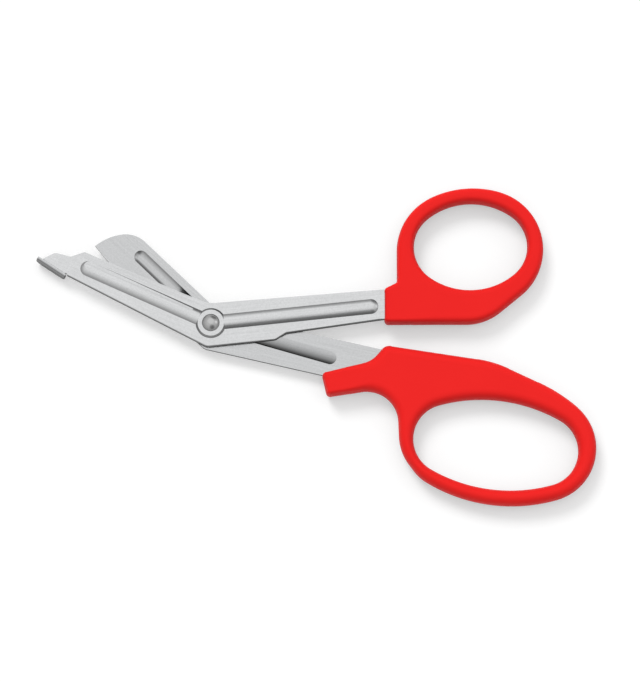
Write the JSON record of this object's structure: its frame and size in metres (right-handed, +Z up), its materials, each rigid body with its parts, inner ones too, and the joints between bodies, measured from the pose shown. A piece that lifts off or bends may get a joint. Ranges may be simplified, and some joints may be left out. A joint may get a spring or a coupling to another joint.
{
  "type": "bandage scissors",
  "caption": "Angled bandage shears: two pressed steel blades on one rivet, a blunt folded probe tip, and two moulded loop handles.",
  "frame": {"origin": "middle of the footprint of the shears as they lie, half open, at the level of the table", "axes": "+X from the probe tip towards the handles, +Y towards the thumb loop, +Z up off the table and along the rivet towards its domed head"},
  "size_m": [0.1782, 0.1024, 0.008],
  "materials": {
    "blade_steel": "satin brushed stainless steel",
    "rivet_steel": "polished",
    "handle_plastic": "satin moulded red"
  },
  "bodies": {
    "front_half": {"front_blade": "blade_steel", "pivot_rivet": "rivet_steel", "thumb_handle": "handle_plastic"},
    "back_half": {"back_blade": "blade_steel", "finger_handle": "handle_plastic"}
  },
  "joints": [
    {"name": "pivot", "type": "hinge", "parent": "front_half", "child": "back_half", "pos_m": [-0.03318, 0.00735, 0.004], "axis": [0, 0, 1], "range_deg": [-55, 6.6]}
  ]
}
